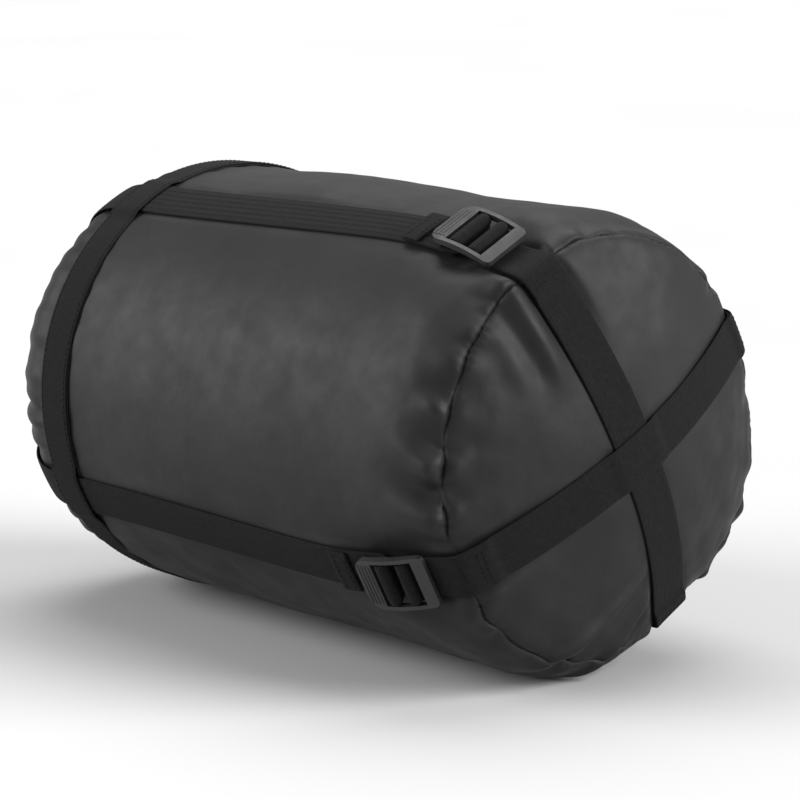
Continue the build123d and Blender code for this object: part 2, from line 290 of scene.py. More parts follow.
def strap_tuck(s, phi):
    """Cloth is pressed under each strap, and stands up beside it where the straps bend over the shoulder."""
    gap = strap_gap(s, phi)
    half = WEB_W / 2
    under = 1 - smoothstep(gap, half - 1 * MM, half + 5 * MM)
    beside = hump(gap, half + 7 * MM, 6 * MM)
    shoulder = smoothstep(s, 40 * MM, S_SEAM - 20 * MM)
    shoulder = shoulder * (1 - smoothstep(s, S_SHOULDER, S_SHOULDER + 40 * MM))
    return -1.0 * MM * under * shoulder + 0.7 * MM * beside * shoulder - 0.15 * MM * under


def fold(s, phi, start, end, width, height):
    """A ridge along the straight way over the cloth between two (s, degrees) points."""
    r = outline.at(s)[1]
    mean_r = float(outline.at((start[0] + end[0]) / 2)[1])
    a = np.array([start[0], radians(start[1]) * mean_r])
    b = np.array([end[0], radians(end[1]) * mean_r])
    way, size = (b - a) / np.linalg.norm(b - a), np.linalg.norm(b - a)
    u = np.stack([s - a[0], angle_gap(phi, radians(start[1])) * np.minimum(r, mean_r * 1.2)], -1)
    along, across = u @ way, u @ np.array([-way[1], way[0]])
    ends = smoothstep(along, -0.15 * size, 0.3 * size) * (1 - smoothstep(along, 0.7 * size, 1.15 * size))
    dip = 0.5 * np.exp(-((across - 1.9 * width) / (1.3 * width)) ** 2)
    return height * ends * (np.exp(-(across / width) ** 2) - dip)


def base_folds(s, phi):
    """Single folds on the base: beside strap a near the top, and at the lower right."""
    out = fold(s, phi, (S_SEAM + 8 * MM, 52.5), (62 * MM, 45), 5.5 * MM, 3.1 * MM)
    out = out + fold(s, phi, (S_SEAM - 2 * MM, 43), (80 * MM, 34), 7 * MM, 1.3 * MM)
    out = out + fold(s, phi, (S_SEAM + 14 * MM, -66), (62 * MM, -94), 4.5 * MM, 3.2 * MM)
    out = out + fold(s, phi, (S_SEAM + 20 * MM, -84), (80 * MM, -104), 3.5 * MM, 3.0 * MM)
    out = out + fold(s, phi, (S_SEAM + 10 * MM, -48), (88 * MM, -56), 8 * MM, 1.4 * MM)
    return out


def soft_lumps(s, phi):
    """The uneven load showing through the cloth."""
    fade = smoothstep(outline.at(s)[1], 15 * MM, 80 * MM)
    return fade * MM * (0.9 * cloth_noise(s, phi, 95 * MM, 31) + 0.4 * cloth_noise(s, phi, 38 * MM, 32))


def fine_creases(s, phi):
    """Slack creases of the thin cloth itself, stronger towards the seam."""
    near_seam = 0.35 + 0.65 * np.exp(-((s - S_SEAM) / (60 * MM)) ** 2)
    fade = smoothstep(outline.at(s)[1], 15 * MM, 80 * MM)
    coarse, fine = cloth_noise(s, phi, 21 * MM, 33, 40), cloth_noise(s, phi, 9 * MM, 34, 60)
    return fade * near_seam * MM * (0.32 * coarse + 0.13 * fine)


def tube_detail(s, phi):
    rim_pucker = 0.25 * MM * ring_noise(phi, range(30, 60), 41) * np.exp(-(S_RIM - s) / (12 * MM))
    free = seam_folds(s, phi) + soft_lumps(s, phi) + base_folds(s, phi) + fine_creases(s, phi) + rim_pucker
    # Under a strap the cloth is held down, so that it never comes through.
    held = 1 - smoothstep(strap_gap(s, phi), WEB_W / 2, WEB_W / 2 + 6 * MM)
    return free * (1 - held) - 0.25 * MM * held + strap_tuck(s, phi)


def seam_wobble(s, phi):
    """The seam isn't sewn quite straight: its gathers pull it to and fro."""
    return 0.7 * MM * ring_noise(phi, range(14, 42), 26) * np.exp(-((s - S_SEAM) / (11 * MM)) ** 2)


def lid_detail(s, phi):
    """The lid's gathered skirt: folds round the shoulder that die out on its flat end."""
    beyond = s - (S_RIM + WEB_W)
    wander = phi + 0.03 * ring_noise(phi, range(3, 10), 51) * smoothstep(beyond, 0, 60 * MM)
    shape = smoothstep(beyond, -2 * MM, 10 * MM) * (1 - smoothstep(beyond, 45 * MM, 100 * MM))
    folds = 0.75 * ring_noise(wander, range(44, 66), 52) + 0.55 * ring_noise(wander, range(20, 32), 53)
    under = 1 - smoothstep(strap_gap(s, phi), WEB_W / 2 - 2 * MM, WEB_W / 2 + 6 * MM)
    edge = 1 - smoothstep(beyond, -8 * MM, 2 * MM)
    waist = -2.6 * MM * hump(beyond, 5 * MM, 9 * MM)
    return folds * MM * shape * (1 - 0.8 * under) - 0.3 * MM * edge + waist + 0.3 * MM


# ---------------------------------------------------------------- mesh builders
ROUND = 480                # columns of a panel's mesh, round the sack


def mesh_object(name, points, faces, uvs=None):
    """uvs is one pair for each corner of each face, in metres over the cloth."""
    mesh = bpy.data.meshes.new(name)
    mesh.from_pydata(points.tolist(), [], faces)
    if uvs is not None:
        layer = mesh.uv_layers.new(name="cloth")
        layer.data.foreach_set("uv", np.asarray(uvs, np.float32).ravel())
    mesh.polygons.foreach_set("use_smooth", [True] * len(mesh.polygons))
    mesh.update()
    piece = bpy.data.objects.new(name, mesh)
    scene.collection.objects.link(piece)
    return piece


def tube_grid(name, points, uv):
    """A mesh from a grid of points, whose second way goes round and closes."""
    rows, cols = points.shape[:2]
    faces, corners = [], []
    for i in range(rows - 1):
        for j in range(cols):
            k = (j + 1) % cols
            quad = [i * cols + j, (i + 1) * cols + j, (i + 1) * cols + k, i * cols + k]
            faces.append(quad)
            corners += [uv(*spot) for spot in ((i, j), (i + 1, j), (i + 1, j + 1), (i, j + 1))]
    return mesh_object(name, points.reshape(-1, 3), faces, corners)


def cap_pole(piece, row_start, outward_x):
    """Closes an end ring of a panel, whose vertices start at row_start, with one face."""
    mesh = piece.data
    bm = bmesh.new()
    bm.from_mesh(mesh)
    bm.verts.ensure_lookup_table()
    ring = [bm.verts[row_start + j] for j in range(ROUND)]
    face = bm.faces.new(ring)
    face.normal_update()
    if face.normal.x * outward_x < 0:
        face.normal_flip()
    face.smooth = True
    bm.to_mesh(mesh)
    bm.free()


def cloth_shell(name, s_low, s_high, detail, step=2.0 * MM):
    """A panel of the sack's cloth, round the whole sack between two distances along its outline."""
    s = np.linspace(s_low, s_high, max(8, int((s_high - s_low) / step)))
    phi = np.arange(ROUND) * 2 * pi / ROUND
    ss, pp = np.meshgrid(s, phi, indexing="ij")
    points = surface(ss + seam_wobble(ss, pp), pp, detail(ss, pp))
    return tube_grid(name, points, lambda i, j: (j * 2 * pi / ROUND * TUBE_R, s[i]))


def thicken(piece, thickness=CLOTH_T):
    solid = piece.modifiers.new("cloth_thickness", "SOLIDIFY")
    solid.thickness, solid.offset = thickness, -1
    return piece


def web_section(columns, width=WEB_W, thickness=WEB_T, ribs=13, rib_depth=0.06 * MM):
    """Across a strap: places from edge to edge, and the height of its top and its underside there."""
    v = np.linspace(-1, 1, columns)
    edge = np.sqrt(np.clip(1 - np.abs(v) ** 14, 0, 1))
    edge[[0, -1]] = 0.0
    top = thickness / 2 * (1 + edge) + rib_depth * np.cos(v * pi * ribs) * edge
    return v * width / 2, top, thickness / 2 * (1 - edge)


def strip(name, top, bottom, along, across, loop=False):
    """A closed strap from its top and underside grids. along and across are its UVs, in metres."""
    rows, cols = top.shape[:2]
    points = np.concatenate([top.reshape(-1, 3), bottom.reshape(-1, 3)])
    under = rows * cols
    faces, corners = [], []

    def add(quad, spots):
        faces.append(quad)
        corners.extend((along[i], across[j]) for i, j in spots)

    for i in range(rows if loop else rows - 1):
        n = (i + 1) % rows
        for j in range(cols - 1):
            a, b, c, d = i * cols + j, n * cols + j, n * cols + j + 1, i * cols + j + 1
            spots = [(i, j), (i + 1, j), (i + 1, j + 1), (i, j + 1)]
            add([a, b, c, d], spots)
            add([under + a, under + d, under + c, under + b], [spots[0], spots[3], spots[2], spots[1]])
        for j in (0, cols - 1):
            a, b = i * cols + j, n * cols + j
            quad = [a, under + a, under + b, b]
            spots = [(i, j), (i, j), (i + 1, j), (i + 1, j)]
            add(quad if j == 0 else quad[::-1], spots if j == 0 else spots[::-1])
    if not loop:
        for i in (0, rows - 1):
            for j in range(cols - 1):
                a, b = i * cols + j, i * cols + j + 1
                quad = [a, b, under + b, under + a]
                spots = [(i, j), (i, j + 1), (i, j + 1), (i, j)]
                add(quad if i == 0 else quad[::-1], spots if i == 0 else spots[::-1])
    piece = mesh_object(name, points, faces, corners)
    bm = bmesh.new()
    bm.from_mesh(piece.data)
    bmesh.ops.recalc_face_normals(bm, faces=bm.faces)
    bm.to_mesh(piece.data)
    bm.free()
    return piece


def surface_strap(name, s_grid, phi_grid, lift, along, loop=False, ribs=13, rib_depth=0.06 * MM):
    """A strap that lies on the stuffed shape. lift is its underside above the cloth, one for each row."""
    v, top, bottom = web_section(s_grid.shape[1], WEB_W, WEB_T, ribs, rib_depth)
    lift = np.asarray(lift)[:, None]
    end_along = list(along) + [2 * along[-1] - along[-2]]
    upper, lower = (surface(s_grid, phi_grid, lift + h[None]) for h in (top, bottom))
    return strip(name, upper, lower, end_along, v, loop)


def free_strap(name, centre, normal, side, thickness=WEB_T, width=WEB_W, columns=34):
    """A strap along a free line of points, with its normal at each, and one sideways direction."""
    v, top, bottom = web_section(columns, width, thickness)
    flat = centre[:, None] + side[None, None] * v[None, :, None]
    grid = [flat + normal[:, None] * (h - thickness / 2)[None, :, None] for h in (top, bottom)]
    along = np.concatenate([[0], np.cumsum(np.linalg.norm(np.diff(centre, axis=0), axis=1))])
    return strip(name, grid[0], grid[1], list(along) + [along[-1]], v)


def smooth_line(points, count):
    """A Catmull-Rom line through the points, evenly spaced."""
    p = np.array(points, float)
    p = np.concatenate([[2 * p[0] - p[1]], p, [2 * p[-1] - p[-2]]])
    line = []
    for i in range(1, len(p) - 2):
        t = np.linspace(0, 1, 24, endpoint=False)[:, None]
        a, b, c, d = p[i - 1:i + 3]
        line.append(0.5 * (2 * b + (c - a) * t + (2 * a - 5 * b + 4 * c - d) * t ** 2
                           + (3 * b - a - 3 * c + d) * t ** 3))
    line = np.concatenate(line + [p[-2][None]])
    along = np.concatenate([[0], np.cumsum(np.linalg.norm(np.diff(line, axis=0), axis=1))])
    even = np.linspace(0, along[-1], count)
    return np.stack([np.interp(even, along, line[:, k]) for k in range(p.shape[1])], 1)


def stitches(name, rows, length=2.2 * MM, gap=1.0 * MM, radius=0.32 * MM):
    """Rows of thread: each row is a list of points on the strap's top, with the outward direction at each."""
    points, faces = [], []
    sides, turns = 4, 6
    for line, normals in rows:
        line, normals = np.asarray(line, float), np.asarray(normals, float)
        along = np.concatenate([[0], np.cumsum(np.linalg.norm(np.diff(line, axis=0), axis=1))])
        start = gap / 2
        while start + length < along[-1]:
            t = start + length * np.linspace(0, 1, sides + 1)
            centre = np.stack([np.interp(t, along, line[:, k]) for k in range(3)], 1)
            out = np.stack([np.interp(t, along, normals[:, k]) for k in range(3)], 1)
            out /= np.linalg.norm(out, axis=1)[:, None]
            way = centre[-1] - centre[0]
            way /= np.linalg.norm(way)
            side = np.cross(out, way)
            swell = radius * np.sin(np.linspace(0.12, 0.88, sides + 1) * pi)
            base = len(points)
            for k in range(sides + 1):
                for m in range(turns):
                    a = 2 * pi * m / turns
                    points.append(centre[k] + out[k] * sin(a) * swell[k] * 0.8 + side[k] * cos(a) * swell[k])
            for k in range(sides):
                for m in range(turns):
                    n = (m + 1) % turns
                    faces.append([base + k * turns + m, base + k * turns + n,
                                  base + (k + 1) * turns + n, base + (k + 1) * turns + m])
            faces.append([base + m for m in range(turns)][::-1])
            faces.append([base + sides * turns + m for m in range(turns)])
            start += length + gap
    return mesh_object(name, np.array(points), faces)


# ---------------------------------------------------------------- materials
class Nodes:
    """A short way to write a material's nodes."""

    def __init__(self, name):
        self.material = bpy.data.materials.new(name)
        self.material.use_nodes = True
        self.tree = self.material.node_tree
        self.shader = self.tree.nodes["Principled BSDF"]

    def new(self, kind, **values):
        node = self.tree.nodes.new(kind)
        for key, value in values.items():
            if hasattr(node, key):
                setattr(node, key, value)
            else:
                node.inputs[key.replace("_", " ")].default_value = value
        return node

    def link(self, out, into):
        self.tree.links.new(out, into)
        return self

    def uv(self, scale):
        place = self.new("ShaderNodeUVMap")
        mapping = self.new("ShaderNodeMapping")
        mapping.inputs["Scale"].default_value = scale
        self.link(place.outputs[0], mapping.inputs[0])
        return mapping.outputs[0]

    def noise(self, scale, detail=3.0, roughness=0.5):
        node = self.new("ShaderNodeTexNoise", Scale=scale, Detail=detail, Roughness=roughness)
        self.link(self.new("ShaderNodeTexCoord").outputs["Object"], node.inputs["Vector"])
        return node.outputs["Fac"]

    def wave(self, where, direction, period):
        node = self.new("ShaderNodeTexWave", wave_type="BANDS", bands_direction=direction,
                        Scale=2 * pi / 20 / period)
        self.link(where, node.inputs["Vector"])
        return node.outputs["Fac"]

    def math(self, operation, a, b=0.5):
        node = self.new("ShaderNodeMath", operation=operation)
        for socket, value in zip(node.inputs, (a, b)):
            if isinstance(value, (int, float)):
                socket.default_value = value
            else:
                self.link(value, socket)
        return node.outputs[0]

    def span(self, value, low, high, from_low=0.3, from_high=0.7):
        node = self.new("ShaderNodeMapRange")
        self.link(value, node.inputs["Value"])
        limits = {"From Min": from_low, "From Max": from_high, "To Min": low, "To Max": high}
        for key, number in limits.items():
            node.inputs[key].default_value = number
        return node.outputs["Result"]

    def colour(self, value, dark, light):
        node = self.new("ShaderNodeMix", data_type="RGBA")
        self.link(value, node.inputs["Factor"])
        node.inputs["A"].default_value = (*dark, 1)
        node.inputs["B"].default_value = (*light, 1)
        self.link(node.outputs["Result"], self.shader.inputs["Base Color"])
        return self

    def bump(self, height, strength, distance, under=None):
        node = self.new("ShaderNodeBump", Strength=strength, Distance=distance)
        self.link(height, node.inputs["Height"])
        if under is not None:
            self.link(under, node.inputs["Normal"])
        self.link(node.outputs["Normal"], self.shader.inputs["Normal"])
        return node.outputs["Normal"]

    def set(self, **values):
        for key, value in values.items():
            self.shader.inputs[key.replace("_", " ")].default_value = value
        return self


def nylon_material():
    """Coated plain-weave nylon: fine threads, small creases and a soft sheen."""
    m = Nodes("nylon")
    patches = m.noise(14.0, 4.0)
    m.colour(m.span(patches, 0, 1), NYLON_DARK, NYLON_LIGHT)
    m.link(m.span(m.noise(60.0, 3.0), 0.46, 0.6), m.shader.inputs["Roughness"])
    place = m.uv((1, 1, 1))
    weave = m.math("ADD", m.wave(place, "X", 0.55 * MM), m.wave(place, "Y", 0.55 * MM))
    crease = m.bump(m.noise(190.0, 4.0, roughness=0.6), 0.32, 0.5 * MM)
    slack = m.bump(m.noise(45.0, 2.0), 0.5, 1.2 * MM, crease)
    m.bump(weave, 0.25, 0.08 * MM, slack)
    m.set(Specular_IOR_Level=0.20, Sheen_Weight=0.01, Sheen_Roughness=0.45)
    return m.material


def webbing_material():
    """Flat nylon webbing: lengthwise ribs crossed by picks, matt."""
    m = Nodes("webbing")
    place = m.uv((1, 1, 1))
    picks = m.wave(place, "X", 0.95 * MM)
    ribs = m.wave(place, "Y", 1.04 * MM)
    weave = m.math("MULTIPLY", picks, ribs)
    grain = m.noise(420.0, 3.0)
    tone = m.math("ADD", m.math("MULTIPLY", weave, 0.55), m.math("MULTIPLY", grain, 0.6))
    m.colour(m.span(tone, 0, 1, 0.2, 0.85), WEB_DARK, WEB_LIGHT)
    rough = m.bump(m.noise(260.0, 3.0), 0.35, 0.3 * MM)
    m.bump(weave, 0.7, 0.3 * MM, rough)
    m.set(Roughness=0.85, Specular_IOR_Level=0.12, Sheen_Weight=0.01, Sheen_Roughness=0.5)
    return m.material


def plastic_material():
    """Moulded acetal: a fine sand-blasted grain, slightly worn smooth."""
    m = Nodes("plastic")
    m.colour(m.span(m.noise(90.0, 4.0), 0, 1), PLASTIC_DARK, PLASTIC_LIGHT)
    m.link(m.span(m.noise(160.0, 3.0), 0.34, 0.5), m.shader.inputs["Roughness"])
    m.bump(m.noise(2600.0, 2.0), 0.16, 0.06 * MM)
    m.set(Specular_IOR_Level=0.42)
    return m.material


def thread_material():
    m = Nodes("thread")
    m.colour(m.span(m.noise(900.0, 2.0), 0, 1), (0.004, 0.004, 0.0042), (0.009, 0.009, 0.0093))
    m.bump(m.noise(2200.0, 2.0), 0.4, 0.1 * MM)
    m.set(Roughness=0.8, Specular_IOR_Level=0.12)
    return m.material


def cord_material():
    """Braided cord: a fine criss-cross."""
    m = Nodes("cord")
    where = m.new("ShaderNodeTexCoord").outputs["Object"]
    braid = m.math("MULTIPLY", m.wave(where, "DIAGONAL", 1.1 * MM), m.wave(where, "Z", 0.9 * MM))
    m.colour(m.span(braid, 0, 1, 0.1, 0.7), (0.012, 0.012, 0.012), (0.04, 0.04, 0.042))
    m.bump(braid, 0.6, 0.25 * MM)
    m.set(Roughness=0.7, Sheen_Weight=0.2)
    return m.material


def metal_material(name, colour, roughness):
    m = Nodes(name)
    m.colour(m.span(m.noise(120.0, 3.0), 0, 1), colour, tuple(min(1, c * 1.25) for c in colour))
    m.link(m.span(m.noise(300.0, 3.0), roughness * 0.8, roughness * 1.2), m.shader.inputs["Roughness"])
    m.set(Metallic=1.0)
    return m.material


NYLON_DARK, NYLON_LIGHT = (0.0105, 0.0105, 0.0108), (0.0155, 0.0155, 0.0159)
WEB_DARK, WEB_LIGHT = (0.0045, 0.0045, 0.0047), (0.0150, 0.0150, 0.0154)
PLASTIC_DARK, PLASTIC_LIGHT = (0.016, 0.016, 0.0165), (0.024, 0.024, 0.0245)

NYLON, WEBBING, PLASTIC = nylon_material(), webbing_material(), plastic_material()
THREAD, CORD = thread_material(), cord_material()
STEEL = metal_material("spring_steel", (0.45, 0.45, 0.46), 0.3)
BLACK_BRASS = metal_material("blackened_brass", (0.09, 0.085, 0.08), 0.35)
SLOT_OF = {"nylon": NYLON, "webbing": WEBBING, "thread": THREAD}


def finish_piece(piece, body, material, *replaced):
    """Gives a piece its material and its place in the frame, and hides the nodes that it stands for."""
    piece.data.materials.clear()
    piece.data.materials.append(SLOT_OF[material])
    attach(piece, body)
    if replaced:
        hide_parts(*replaced)
    return piece


# ---------------------------------------------------------------- cloth pieces
tube = cloth_shell("tube_cloth", S_SEAM, S_RIM + 4 * MM, tube_detail)
thicken(tube)
finish_piece(tube, "sack", "nylon", "sack_tube", "packed_load")
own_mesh(tube)

POLE_GAP = 1.5 * MM
base = cloth_shell("base_cloth", POLE_GAP, S_SEAM, tube_detail)
cap_pole(base, 0, 1)
thicken(base)
finish_piece(base, "sack", "nylon", "base_panel")

lid = cloth_shell("lid_cloth", S_RIM, S_END - POLE_GAP, lid_detail)
cap_pole(lid, len(lid.data.vertices) - ROUND, -1)
thicken(lid)
finish_piece(lid, "lid", "nylon", "lid_panel")


def gathered_mouth():
    """The drawn-in mouth: pleats that start under the lid's shoulder and deepen to the neck."""
    # The neck's cloth lies against the inner side of the cord channel.
    neck_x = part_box("cord_channel")[1].x + 0.4 * MM
    neck_r, dish_r, hole_r = 20 * MM, 60 * MM, 9 * MM
    corner_x, corner_r = LID_END_X + LID_CORNER_R, RIM_R - LID_CORNER_R
    inside = 1.2 * MM      # under the lid
    profile = np.concatenate([
        [[RIM_X + 4 * MM, RIM_R - 3.0 * MM], [RIM_X - 12 * MM, RIM_R - 1.4 * MM], [corner_x, RIM_R - inside]],
        arc_points(corner_x, corner_r, LID_CORNER_R - inside, pi / 2, pi, 30)[1:],
        smooth_line([(LID_END_X + inside, corner_r), (LID_END_X + 4 * MM, dish_r - 3 * MM),
                     (neck_x - 2 * MM, neck_r + 4 * MM), (neck_x, hole_r)], 40)[1:],
    ])
    steps = np.concatenate([[0], np.cumsum(np.linalg.norm(np.diff(profile, axis=0), axis=1))])
    s = np.linspace(0, steps[-1], 110)
    x, r = np.interp(s, steps, profile[:, 0]), np.interp(s, steps, profile[:, 1])
    dx, dr = np.gradient(x), np.gradient(r)
    size = np.hypot(dx, dr)
    nx, nr = dr / size, -dx / size
    phi = np.arange(ROUND) * 2 * pi / ROUND
    deep = smoothstep(s, 25 * MM, steps[-1] - 25 * MM)[:, None]
    pleats = np.abs(np.cos(17 * phi + 0.5 * ring_noise(phi, range(3, 9), 61)))[None, :] - 1
    pleats = pleats + 0.25 * ring_noise(phi, range(40, 60), 62)[None, :] - 0.3
    crowd = np.minimum(1, r / (30 * MM))[:, None]
    d = np.minimum(3.2 * MM * deep * pleats * crowd, 0)
    # Inside the lid it keeps clear of the lid's own dips.
    beside_lid = (S_RIM - 4 * MM + s)[:, None]
    clear = smoothstep(s, 2 * MM, 22 * MM) * (1 - smoothstep(s, steps[-1] - 80 * MM, steps[-1] - 50 * MM))
    d = d + np.minimum(bulge(beside_lid, phi[None, :]), 0) - 3.0 * MM * clear[:, None]
    xx, rr = x[:, None] + nx[:, None] * d, r[:, None] + nr[:, None] * d
    z = AXIS_Z + rr * np.sin(phi)
    lowest = LID_FLOOR + inside
    z = lowest + FLOOR_SOFT * np.logaddexp(0, (z - lowest) / FLOOR_SOFT)
    points = np.stack([xx + 0 * z, -rr * np.cos(phi), z], -1)
    return tube_grid("mouth_cloth", points, lambda i, j: (j * 2 * pi / ROUND * TUBE_R, s[i]))


mouth = gathered_mouth()
thicken(mouth)
finish_piece(mouth, "mouth_end", "nylon", "gathered_mouth")


def channel_hem():
    """The hem that the drawcord runs in, puckered round the neck."""
    low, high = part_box("cord_channel")
    centre_x, tube_r = (low.x + high.x) / 2, (high.x - low.x) / 2
    ring_r = (high.y - low.y) / 2 - tube_r
    round_step, tube_step = 2 * pi / 192, 2 * pi / 24
    a, b = np.meshgrid(np.arange(192) * round_step, np.arange(24) * tube_step, indexing="ij")
    pucker = 0.5 * MM * np.cos(26 * a + 1.5 * np.cos(3 * a)) - 0.5 * MM
    ring = ring_r + (tube_r + pucker) * np.cos(b)
    x = centre_x + (tube_r + pucker) * np.sin(b)
    points = np.stack([x, -ring * np.cos(a), AXIS_Z + ring * np.sin(a)], -1)
    closed = np.concatenate([points, points[:1]])
    return tube_grid("channel_hem", closed, lambda i, j: (i * round_step * ring_r, j * tube_step * tube_r))


finish_piece(channel_hem(), "mouth_end", "nylon", "cord_channel")

# ---------------------------------------------------------------- webbing
WEB_COLUMNS = 53
LAP = WEB_T + 0.1 * MM     # how far one strap lifts the next over it
LIE = 0.25 * MM            # a strap's underside above the cloth
HINGE_X, HINGE_Z = 20.4 * MM, 1.4 * MM     # a ladder lock's hinge in its own side view
LOCK_TILT = radians(13.0)
LOCK_X = {place: joint["pos_m"][0] - HINGE_X * cos(LOCK_TILT) - HINGE_Z * sin(LOCK_TILT)
          for place, joint in LIFT_JOINT.items()}


def arm_grid(distance, v, place, pole_s=0.0, way=1):
    """Cloth places of a straight strap, by distance from a pole of the outline and by offset across."""
    s = pole_s + way * distance
    r = np.maximum(outline.at(s)[1], 1 * MM)[:, None]
    near = (1 - smoothstep(distance, 35 * MM, 90 * MM))[:, None]
    spread = np.arctan2(v[None, :], r) * near + v[None, :] / r * (1 - near)
    s_grid = pole_s + way * np.sqrt(distance[:, None] ** 2 + (v[None, :] * near) ** 2)
    return s_grid, strap_middle(place, s)[:, None] + spread


def crossing_strap(name, places, reaches, lift, pole_s=0.0, way=1, step=2.0 * MM):
    """One strap over an end of the sack, from one strap line across the pole to the opposite one."""
    v = web_section(WEB_COLUMNS)[0]
    t = np.linspace(-reaches[0], reaches[1], int(sum(reaches) / step) | 1)
    first = t < 0
    s1, p1 = arm_grid(-t[first], v, places[0], pole_s, way)
    s2, p2 = arm_grid(t[~first], -v, places[1], pole_s, way)
    return surface_strap(name, np.concatenate([s1, s2]), np.concatenate([p1, p2]), lift(t), t - t[0])


FOLD_BACK_END = {"top": 101 * MM, "front": 97 * MM, "bottom": 104 * MM, "back": 108 * MM}
BASE_REACH = {place: outline.s_at_x(x + 14 * MM) for place, x in LOCK_X.items()}


def base_lift(places, over):
    """The height of a base strap: it is lifted by its own folded-back ends, and strap b by strap a."""
    def lift(t):
        ends = np.where(t < 0, FOLD_BACK_END[places[0]], FOLD_BACK_END[places[1]])
        return LIE + LAP * smoothstep(abs(t) - ends, -3 * MM, 1 * MM) + (over_crossing(t) if over else 0)
    return lift


def over_crossing(t):
    return LAP * (1 - smoothstep(abs(t), WEB_W / 2 + 1 * MM, WEB_W / 2 + 9 * MM))


for name, places, over in (("a", ("bottom", "top"), False), ("b", ("front", "back"), True)):
    reaches = [BASE_REACH[place] for place in places]
    strap = crossing_strap(f"base_webbing_{name}", places, reaches, base_lift(places, over))
    finish_piece(strap, "sack", "webbing", f"base_strap_{name}")


def path_frame(s, phi, lift):
    """Points above the cloth along (s, phi), with the outward directions there."""
    points = surface(s, phi, lift)
    normals = surface(s, phi, lift + 1 * MM) - points
    return points, normals / np.linalg.norm(normals, axis=-1, keepdims=True)


def cross_row(s, place, lift, inset=2.5 * MM):
    """A stitch row across a strap."""
    v = np.linspace(-WEB_W / 2 + inset, WEB_W / 2 - inset, 30)
    s_grid, phi_grid = arm_grid(np.full(1, s), v, place)
    return path_frame(s_grid[0], phi_grid[0], lift)


for place in STRAP_DEG:
    # The folded-back end under the base strap, and the stitches that hold it.
    v = web_section(WEB_COLUMNS)[0]
    end = FOLD_BACK_END[place]
    distance = np.linspace(end, BASE_REACH[place] - 1 * MM, 30)
    s_grid, phi_grid = arm_grid(distance, v * 0.985, place)
    under = surface_strap(f"folded_end_{place}", s_grid, phi_grid, np.full(30, LIE), distance)
    finish_piece(under, "sack", "webbing")
    rows = [cross_row(end + d, place, LIE + LAP + WEB_T + 0.05 * MM) for d in (5 * MM, 8 * MM)]
    finish_piece(stitches(f"base_stitches_{place}", rows), "sack", "thread")


def strap_rows(s_low, s_high, step, place, squeeze=1.0):
    v = web_section(WEB_COLUMNS)[0]
    s = np.linspace(s_low, s_high, max(6, int((s_high - s_low) / step)))
    r = outline.at(s)[1]
    return s, s[:, None] + 0 * v[None], strap_middle(place, s)[:, None] + squeeze * v[None] / r[:, None]


def run_lift(s):
    return LIE + 0.5 * MM * smoothstep(s, S_RIM - 14 * MM, S_RIM)


def follow_compress(piece, anchor_piece_high_x):
    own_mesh(piece)


for place in STRAP_DEG:
    run_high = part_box(f"strap_run_{place}")[1]
    tail_low, tail_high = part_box(f"strap_tail_{place}")
    s, s_grid, phi_grid = strap_rows(outline.s_at_x(run_high.x - 2 * MM), S_RIM + 6 * MM, 2.2 * MM, place)
    run = surface_strap(f"run_webbing_{place}", s_grid, phi_grid, run_lift(s), s, ribs=6, rib_depth=0.13 * MM)
    finish_piece(run, "lid", "webbing", f"strap_run_{place}")
    follow_compress(run, run_high.x)

    # The tail lies on the run, folded double and stitched at its end.
    tail_s = (outline.s_at_x(tail_high.x + 1 * MM), outline.s_at_x(tail_low.x))
    s, s_grid, phi_grid = strap_rows(*tail_s, 1.5 * MM, place, squeeze=1.03)
    rise = 0.6 * MM * smoothstep(s, tail_s[0] + 4 * MM, tail_s[1])
    tail = surface_strap(f"tail_webbing_{place}", s_grid, phi_grid, LIE + LAP + rise, s, ribs=6,
                         rib_depth=0.13 * MM)
    finish_piece(tail, "lid", "webbing", f"strap_tail_{place}")
    follow_compress(tail, run_high.x)
    s, s_grid, phi_grid = strap_rows(tail_s[1] - 12 * MM, tail_s[1] + 0.3 * MM, 1.3 * MM, place, squeeze=1.02)
    hem_lift = np.full(len(s), LIE + 2 * LAP + 0.6 * MM)
    folded = surface_strap(f"tail_hem_{place}", s_grid, phi_grid, hem_lift, s)
    finish_piece(folded, "lid", "webbing")
    follow_compress(folded, run_high.x)
    v = np.linspace(-WEB_W / 2 + 2 * MM, WEB_W / 2 - 2 * MM, 30)
    rows = []
    for offset in (2.5 * MM, 9.5 * MM):
        s_row = np.full(30, tail_s[1] - offset)
        rows.append(path_frame(s_row, strap_middle(place, s_row) + v / outline.at(s_row)[1],
                               LIE + 2 * LAP + 0.65 * MM + WEB_T))
    sewn = finish_piece(stitches(f"tail_stitches_{place}", rows), "lid", "thread")
    follow_compress(sewn, run_high.x)

# Straps over the lid: each bridges the shoulder and crosses the flat end.
LID_REACH = S_END - S_RIM - 1 * MM
BRIDGE = {"top": 1.2 * MM, "front": 1.0 * MM, "bottom": 1.0 * MM, "back": 1.5 * MM}


def lid_lift(places, over):
    def lift(t):
        s = S_END - abs(t)
        corner = hump(s, S_CORNER + 38 * MM, 26 * MM)
        bridge = np.where(t < 0, BRIDGE[places[0]], BRIDGE[places[1]])
        off_the_end = 1.2 * MM * (1 - smoothstep(abs(t), 20 * MM, 80 * MM))
        return 0.9 * MM + bridge * corner + (over_crossing(t) if over else 0) + off_the_end
    return lift


for name, places, over in (("a", ("bottom", "top"), False), ("b", ("front", "back"), True)):
    strap = crossing_strap(f"lid_webbing_{name}", places, (LID_REACH, LID_REACH), lid_lift(places, over),
                           S_END, -1)
    finish_piece(strap, "lid", "webbing", f"lid_strap_{name}")


